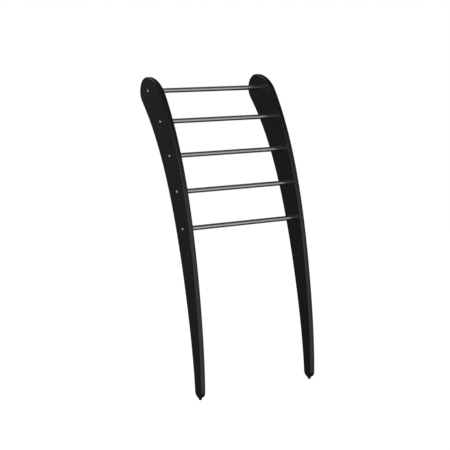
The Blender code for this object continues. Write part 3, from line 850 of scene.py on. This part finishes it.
# Switch housing: rounded rectangles from the back of the box out to the bezel's rim, and down its well
def makeSwitch(plastic, rockerPlastic):
    setup = switchSetup
    a, b, wall, lip, edge = (setup[key] for key in ("across", "along", "wall", "lip", "edge"))
    face, corner = setup["rockerFit"], setup["corner"]
    top, back = face + setup["height"], face - setup["depth"]
    rows = [(a + wall - 0.0003, b + wall - 0.0003, 0.0007, back)]
    rows += [(a + wall, b + wall, 0.0010, back + 0.0003)]
    rows += [(a + wall, b + wall, 0.0010, face), (a + wall + lip, b + wall + lip, corner, face)]
    rows += rimRows(a + wall + lip, b + wall + lip, corner, edge, top)
    rows += [(a + 0.0004, b + 0.0004, 0.0009, top), (a + 0.0001, b + 0.0001, 0.0008, top - 0.0001)]
    rows += [(a, b, 0.0008, top - 0.0004), (a, b, 0.0008, back + 0.0020)]
    housing = loftObject("switchHousing", onRail(steppedBox(rows), setup["station"], outerX))
    pinX = outerX - setup["pinInset"]
    carve(housing, [pinCutter(pinX)])
    finishPiece(housing, plastic, "black_plastic", "switch_housing")
    makeRocker(rockerPlastic, pinX)


# The rocker in side view: two lands that dip to the middle by a power of the height, and a narrow root.
# Its rings step in at both sides by r(1 - sin a), and the whole is tilted about its pin.
def makeRocker(material, pinX):
    setup = switchSetup
    half = setup["along"] - setup["landInset"]
    width = setup["across"] - setup["rockerFit"]
    low, dip, power = setup["dip"]
    up = np.linspace(-1.0, 1.0, 49)
    face = np.stack([low + dip * np.abs(up) ** power, up * half], axis=-1)
    right = np.array([(out, half + past) for out, past in setup["nose"]] + list(setup["root"]))
    loop = np.vstack([face[1:-1], right, (right * (1, -1))[::-1]])
    turn = np.linspace(0.0, np.pi / 2, 5)
    edge = setup["rockerEdge"]
    inset = np.concatenate([[1.6 * edge], edge * (1 - np.sin(turn))])
    place = np.concatenate([[width], width - edge + edge * np.cos(turn)])
    inset = np.concatenate([inset, inset[::-1]])
    place = np.concatenate([-place, place[::-1]])
    tangent = np.roll(loop, -1, axis=0) - np.roll(loop, 1, axis=0)
    normal = np.stack([tangent[:, 1], -tangent[:, 0]], axis=-1)
    normal /= np.linalg.norm(normal, axis=1)[:, None]
    moved = loop[None] - normal[None] * inset[:, None, None]
    tilt = math.radians(setup["tiltDegrees"])
    out = moved[..., 0] * math.cos(tilt) + moved[..., 1] * math.sin(tilt)
    along = -moved[..., 0] * math.sin(tilt) + moved[..., 1] * math.cos(tilt)
    rings = np.stack([out, np.broadcast_to(place[:, None], out.shape), along], axis=-1)
    rocker = loftObject("rockerKey", onRail(rings, setup["station"], pinX))
    carve(rocker, [pinCutter(pinX)])
    finishPiece(rocker, material, "black_plastic", "switch_rocker", body="rocker")


# Appliance inlet: a flange with a rounded rim, the shroud behind it and an open mouth with three pins,
# whose noses are r cos(a)^0.7 by r sin a
def makeInlet(plastic, brass):
    setup = inletSetup
    (flangeA, flangeB), (a, b), (mouthA, mouthB) = (setup[key] for key in ("flange", "shroud", "mouth"))
    face = coverSetup["gap"]
    top, back = face + setup["rise"], face - setup["depth"]
    rows = [(a - 0.0004, b - 0.0004, 0.0016, back), (a, b, 0.0020, back + 0.0004), (a, b, 0.0020, face)]
    rows += [(flangeA, flangeB, 0.0030, face)]
    rows += rimRows(flangeA, flangeB, 0.0030, setup["edge"], top)
    rows += [(mouthA + 0.0006, mouthB + 0.0006, 0.0022, top)]
    rows += [(mouthA + 0.0001, mouthB + 0.0001, 0.0020, top - 0.0003)]
    rows += [(mouthA, mouthB, 0.0020, top - 0.0006), (mouthA, mouthB, 0.0020, face - setup["mouthDepth"])]
    inlet = loftObject("inletSocket", onRail(steppedBox(rows), setup["station"], outerX))
    tools = []
    radius, hole = setup["pinRadius"], setup["pinRadius"] + setup["pinFit"]
    turn = np.linspace(0.0, np.pi / 2, 6)[:-1]
    for label in ("live", "neutral", "earth"):
        low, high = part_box(f"inlet_pin_{label}")
        centre = (0.0, (low.y + high.y) / 2, (low.z + high.z) / 2)
        rows = [(hole, low.x - 0.004), (hole, low.x + 0.006)]
        tools.append(turnedObject(f"{label}Hole", rows, centre, around=32))
        rows = [(radius, low.x + 0.0001)]
        rows += list(zip(radius * np.cos(turn) ** 0.7, high.x - radius * (1 - np.sin(turn))))
        rows += [(radius * 0.25, high.x)]
        pin = turnedObject(f"{label}Pin", rows, centre, around=40)
        finishPiece(pin, brass, "brass", f"inlet_pin_{label}")
    carve(inlet, [joined("pinHoles", tools)])
    finishPiece(inlet, plastic, "black_plastic", "inlet_body")


def newFinish(name):
    material = bpy.data.materials.new(name)
    material.use_nodes = True
    return material, Wire(material.node_tree), material.node_tree.nodes["Principled BSDF"]


# Numbers are set on the shader's own sockets, and what varies over the surface is linked
def fillShader(start, shader, sockets):
    for key, value in sockets.items():
        if isinstance(value, Wire):
            start.tree.links.new(value.socket, shader.inputs[key])
        else:
            shader.inputs[key].default_value = (*value, 1.0) if isinstance(value, tuple) else value


def ownPoint(start):
    return start.make("ShaderNodeTexCoord", None, None, 3)


def storedPoint(start, name):
    return start.make("ShaderNodeAttribute", {"attribute_name": name}, None, 1)


def part(vector, axis):
    return vector.make("ShaderNodeSeparateXYZ", None, {0: vector}, axis)


def stretch(vector, scale):
    return vector.make("ShaderNodeVectorMath", {"operation": "MULTIPLY"}, {0: vector, 1: scale})


def cloud(vector, scale=1.0, detail=3.0):
    return vector.make("ShaderNodeTexNoise", None, {"Vector": vector, "Scale": scale, "Detail": detail})


def cells(vector, scale=1.0):
    return vector.make("ShaderNodeTexVoronoi", {"feature": "F1"}, {"Vector": vector, "Scale": scale})


def relief(height, depth, strength=1.0):
    return height.make("ShaderNodeBump", None, {"Strength": strength, "Distance": depth, "Height": height})


lacquerFinish = {
    "deep": (0.0080, 0.0080, 0.0092),
    # the lighter colour, reached by the pores, the tonal bands and the painted highlight on the rounded
    # edges
    "lighterGrainAndSheen": (0.0142, 0.0140, 0.0152),
    "roughness": 0.30,
    "grainScale": (520.0, 520.0, 9.0),
    "grainDepth": 0.000015,
    "bandScale": (60.0, 60.0, 1.6),
    "handledScale": 7.0,
    "peelScale": 260.0,
    "peelDepth": 0.000012,
    "coat": 0.25,
}


# Wood under satin black lacquer: long closed pores, a faint orange peel, rounded edges rubbed smoother, and
# a painted highlight that makes the base colour lighter half way round the rounded edges
def makeLacquer(setup):
    material, start, shader = newFinish("satinBlackLacquer")
    path = storedPoint(start, "railPath")
    edge = part(storedPoint(start, "railEdge"), 0)
    pores = cloud(stretch(path, setup["grainScale"]), 1.0, 4.0).step(0.52, 0.72)
    bands = cloud(stretch(path, setup["bandScale"]), 1.0, 2.0)
    peel = cloud(ownPoint(start), setup["peelScale"], 2.0)
    handled = cloud(ownPoint(start), setup["handledScale"], 3.0).step(0.40, 0.70)
    # painted highlight: the base colour is lighter half way round the rounded edges, added to the lighter
    # pores and tonal bands
    grainAndEdgeSheen = pores * 0.45 + edge * 0.30 + bands * 0.25
    height = peel * setup["peelDepth"] - pores * setup["grainDepth"]
    rough = setup["roughness"] + handled * 0.06 + pores * 0.06 - edge * 0.05
    fillShader(start, shader, {
        "Base Color": grainAndEdgeSheen.mixColours(setup["deep"], setup["lighterGrainAndSheen"]),
        "Roughness": rough,
        "Normal": relief(height, 1.0),
        "Coat Weight": setup["coat"] - handled * 0.08,
        "Coat Roughness": 0.22,
        "Coat Tint": (0.94, 0.93, 1.0),
        "Specular Tint": (0.92, 0.90, 1.0),
        "IOR": 1.5,
    })
    return material


steelFinish = {
    "clean": (0.620, 0.590, 0.590),
    "worn": (0.560, 0.520, 0.510),
    "roughness": 0.24,
    "lineScale": (2600.0, 30.0, 30.0),
    "deepScale": (700.0, 12.0, 12.0),
    "patchScale": (9.0, 40.0, 40.0),
    "lineDepth": 0.000004,
}


# Tube polished as it turns: fine lines round it, a few deeper ones, and cloudy patches
def makeSatinSteel(setup):
    material, start, shader = newFinish("satinPolishedTube")
    point = ownPoint(start)
    lines = cloud(stretch(point, setup["lineScale"]), 1.0, 3.0)
    deeper = cloud(stretch(point, setup["deepScale"]), 1.0, 2.0).step(0.62, 0.74)
    patches = cloud(stretch(point, setup["patchScale"]), 1.0, 3.0)
    rough = setup["roughness"] + (patches - 0.5) * 0.10 + lines * 0.06 + deeper * 0.05
    fillShader(start, shader, {
        "Base Color": (patches * 0.7 + deeper * 0.3).mixColours(setup["clean"], setup["worn"]),
        "Metallic": 1.0,
        "Roughness": rough,
        "Normal": relief(lines * setup["lineDepth"] + deeper * setup["lineDepth"], 1.0),
    })
    return material


brightFinish = {
    "clean": (0.90, 0.89, 0.88),
    "dull": (0.80, 0.79, 0.78),
    "roughness": 0.28,
    "ringScale": 5200.0,
    "scuffScale": 900.0,
}


# Turned screw heads: rings about the axis, and random scuffed patches that are duller
def makeBrightSteel(setup, name="turnedBrightSteel", stored=True):
    material, start, shader = newFinish(name)
    place = storedPoint(start, "turned") if stored else ownPoint(start)
    rings = cloud(stretch(place, (setup["ringScale"], setup["ringScale"] * 0.5, 0.0)), 1.0, 2.0)
    scuffs = cloud(ownPoint(start), setup["scuffScale"], 4.0)
    fillShader(start, shader, {
        "Base Color": scuffs.step(0.45, 0.75).mixColours(setup["clean"], setup["dull"]),
        "Metallic": 1.0,
        "Roughness": setup["roughness"] + rings * 0.12 + scuffs * 0.08,
        "Normal": relief(rings * 0.000004 + scuffs * 0.000003, 1.0),
    })
    return material


brassFinish = {"clean": (0.72, 0.53, 0.25), "tarnish": (0.36, 0.24, 0.11), "roughness": 0.26}


def makeBrass(setup):
    material, start, shader = newFinish("turnedBrass")
    point = ownPoint(start)
    lines = cloud(stretch(point, (3200.0, 60.0, 60.0)), 1.0, 2.0)
    stain = cloud(point, 160.0, 4.0).step(0.42, 0.72)
    fillShader(start, shader, {
        "Base Color": stain.mixColours(setup["clean"], setup["tarnish"]),
        "Metallic": 1.0,
        "Roughness": setup["roughness"] + lines * 0.10 + stain * 0.22,
        "Normal": relief(lines * 0.000005, 1.0),
    })
    return material


rubberFinish = {"deep": (0.014, 0.014, 0.0145), "dust": (0.060, 0.057, 0.053), "roughness": 0.78}


# Moulded rubber: a fine speckled skin, dusty low down where it is trodden
def makeRubber(setup):
    material, start, shader = newFinish("mouldedBlackRubber")
    point = ownPoint(start)
    speckle = cells(point, 2600.0)
    patches = cloud(point, 220.0, 4.0)
    low = 1.0 - part(point, 2).step(0.0, 0.006)
    dust = (low * 0.6 + 0.15) * patches.step(0.40, 0.75)
    fillShader(start, shader, {
        "Base Color": dust.mixColours(setup["deep"], setup["dust"]),
        "Roughness": setup["roughness"] + patches * 0.12,
        "Normal": relief(speckle * 0.00004 + patches * 0.00003, 1.0),
    })
    return material


plasticFinish = {"deep": (0.0110, 0.0110, 0.0115), "rubbed": (0.0210, 0.0210, 0.0205), "roughness": 0.42}
rockerFinish = {"deep": (0.0080, 0.0080, 0.0085), "rubbed": (0.0170, 0.0165, 0.0160), "roughness": 0.26}


# Moulded plastic with a spark-eroded skin, rubbed smoother where hands reach it
def makePlastic(name, setup, grainDepth):
    material, start, shader = newFinish(name)
    point = ownPoint(start)
    skin = cells(point, 1800.0)
    fine = cloud(point, 4200.0, 2.0)
    rubbed = cloud(point, 55.0, 3.0).step(0.45, 0.72)
    fillShader(start, shader, {
        "Base Color": (rubbed * 0.5 + skin * 0.4).mixColours(setup["deep"], setup["rubbed"]),
        "Roughness": setup["roughness"] + fine * 0.12 - rubbed * 0.08,
        "Normal": relief(skin * grainDepth + fine * grainDepth * 0.4, 1.0),
    })
    return material


sheathFinish = {"clean": (0.50, 0.48, 0.46), "blued": (0.26, 0.20, 0.19), "roughness": 0.36}


# Heater sheath: drawn steel, tinted by heat in slow bands along it
def makeSheath(setup):
    material, start, shader = newFinish("heaterSheath")
    point = ownPoint(start)
    drawn = cloud(stretch(point, (14.0, 1400.0, 1400.0)), 1.0, 3.0)
    tint = cloud(stretch(point, (11.0, 20.0, 20.0)), 1.0, 3.0).step(0.42, 0.66)
    fillShader(start, shader, {
        "Base Color": tint.mixColours(setup["clean"], setup["blued"]),
        "Metallic": 0.95,
        "Roughness": setup["roughness"] + drawn * 0.12 + tint * 0.10,
        "Normal": relief(drawn * 0.000008, 1.0),
    })
    return material


creamFinish = {"clean": (0.70, 0.66, 0.56), "scorched": (0.50, 0.43, 0.32), "roughness": 0.50}


def makeCream(setup):
    material, start, shader = newFinish("creamMoulding")
    point = ownPoint(start)
    specks = cells(point, 900.0)
    stain = cloud(point, 90.0, 4.0).step(0.46, 0.80)
    fillShader(start, shader, {
        "Base Color": stain.mixColours(setup["clean"], setup["scorched"]),
        "Roughness": setup["roughness"] + specks * 0.20,
        "Normal": relief(specks * 0.00003, 1.0),
    })
    return material


sleeveFinish = {
    "dark": (0.085, 0.085, 0.090),
    "light": (0.190, 0.190, 0.200),
    "roughness": 0.62,
    "threads": 5200.0,
}


# Woven sleeve: two sets of slanting threads, each pair of waves multiplied into a crossing pattern
def makeSleeve(setup):
    material, start, shader = newFinish("greyGlassSleeve")
    point = ownPoint(start)
    across, up = part(point, 1), part(point, 2)
    rising = start.maths("SINE", (up + across) * setup["threads"])
    falling = start.maths("SINE", (up - across) * setup["threads"])
    weave = rising * falling * 0.5 + 0.5
    fuzz = cloud(point, 1500.0, 3.0)
    fillShader(start, shader, {
        "Base Color": (weave * 0.6 + fuzz * 0.4).mixColours(setup["dark"], setup["light"]),
        "Roughness": setup["roughness"] + fuzz * 0.2,
        "Normal": relief(weave * 0.00008 + fuzz * 0.00003, 1.0),
    })
    return material


# CAD solids whose shape is already right keep it and take a finish
def dressNodes(names, material):
    for name in names:
        for slot in nodes[name].material_slots:
            slot.material = material


makeCamera(cameraSetup)
makeSky(skySetup)
makeFloor(stageSetup)
makeLamps(lampSetup)
print("stage: camera, sky, floor and lamps")

lacquer = makeLacquer(lacquerFinish)
satinSteel = makeSatinSteel(steelFinish)
brightSteel = makeBrightSteel(brightFinish)
brass = makeBrass(brassFinish)
rubber = makeRubber(rubberFinish)
housingPlastic = makePlastic("sparkErodedPlastic", plasticFinish, 0.00003)
rockerPlastic = makePlastic("rockerPlastic", rockerFinish, 0.000008)
print("finishes made")

makeRails(lacquer)
print("rails bent, bored and pocketed")
makeRungs(satinSteel)
makeScrews(brightSteel)
print("rungs and their screws")
makeFeet(rubber)
makeBumpers(rubber)
print("feet and bumpers")
makeCovers(lacquer, housingPlastic)
makeSmallScrews(brightSteel)
makeSwitch(housingPlastic, rockerPlastic)
makeInlet(housingPlastic, brass)
print("covers, switch and inlet")

dressNodes([f"{side}_end_plug_{k}" for side in sides for k in rungNumbers], brass)
dressNodes([f"cable_nut_{k}" for k in rungNumbers], brass)
dressNodes([f"heating_element_{k}" for k in rungNumbers], makeSheath(sheathFinish))
dressNodes(["rocker_pin"], makeBrightSteel(brightFinish, "drawnPinSteel", stored=False))
dressNodes(["terminal_block"], makeCream(creamFinish))
dressNodes(["overheat_cutout", "wiring_harness"], makeSleeve(sleeveFinish))
print("inner pieces dressed")
